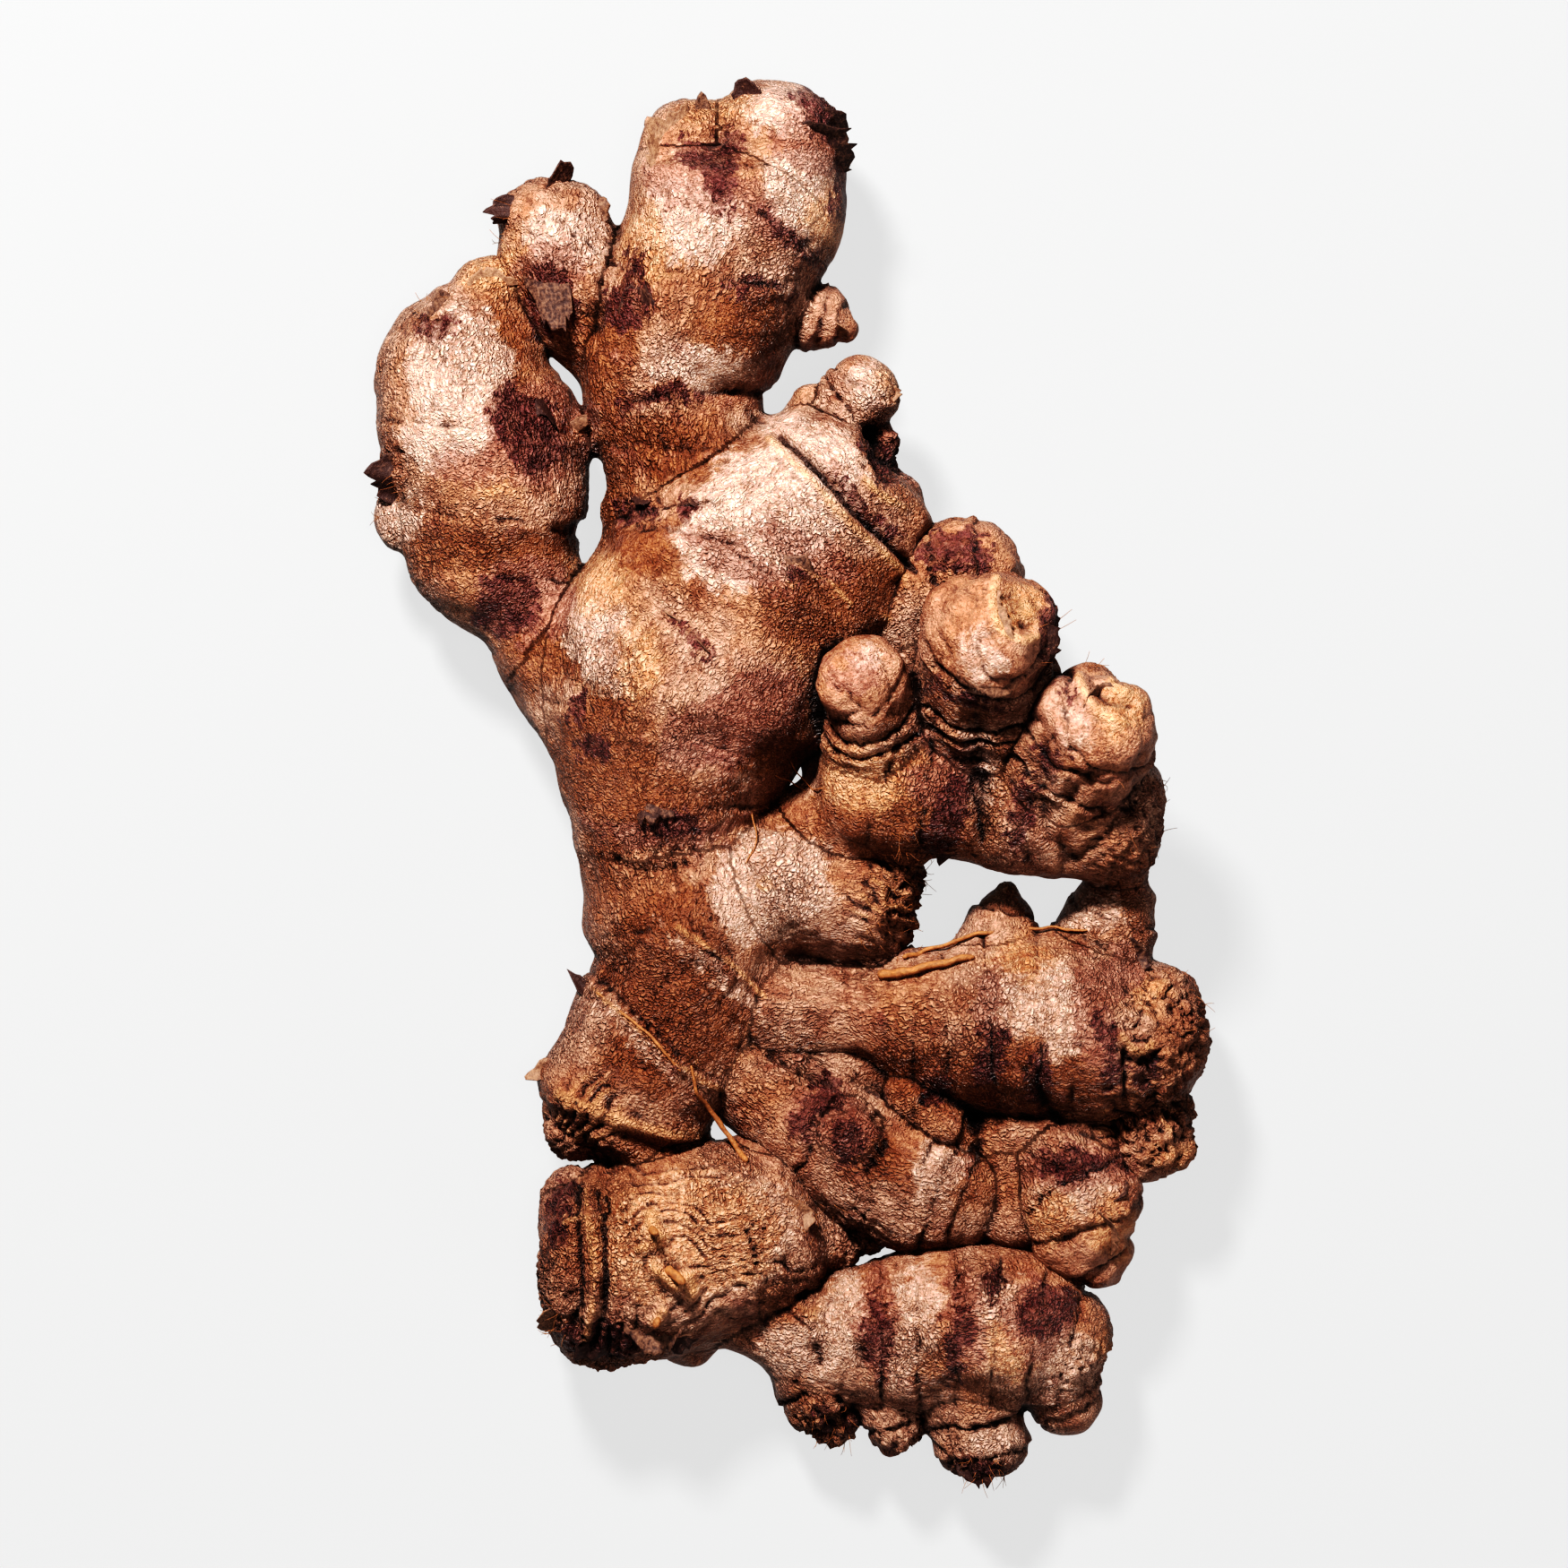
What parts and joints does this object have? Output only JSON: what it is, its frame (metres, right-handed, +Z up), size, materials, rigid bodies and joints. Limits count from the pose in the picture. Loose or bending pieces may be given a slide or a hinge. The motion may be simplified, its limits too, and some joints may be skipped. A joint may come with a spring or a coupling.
{
  "type": "ginger root",
  "caption": "Whole hand of fresh ginger: a branching knobbly rhizome with swollen fingers and blunt round buds, lying flat on a table.",
  "frame": {"origin": "centre of the bounding box at the table it lies on", "axes": "+Z up from the table, +Y along the length of the hand towards the end of its biggest finger, +X to the side with the cluster of round buds"},
  "size_m": [0.1182, 0.1992, 0.0451],
  "materials": {
    "ginger_skin": "leathery satin ginger skin, wrinkled, pinkish tan with brown creases",
    "scale_leaf": "dry papery scale leaf, matte",
    "rootlet": "dry thread-like rootlet, matte"
  },
  "bodies": {
    "root": {"rhizome": "ginger_skin"}
  },
  "joints": []
}
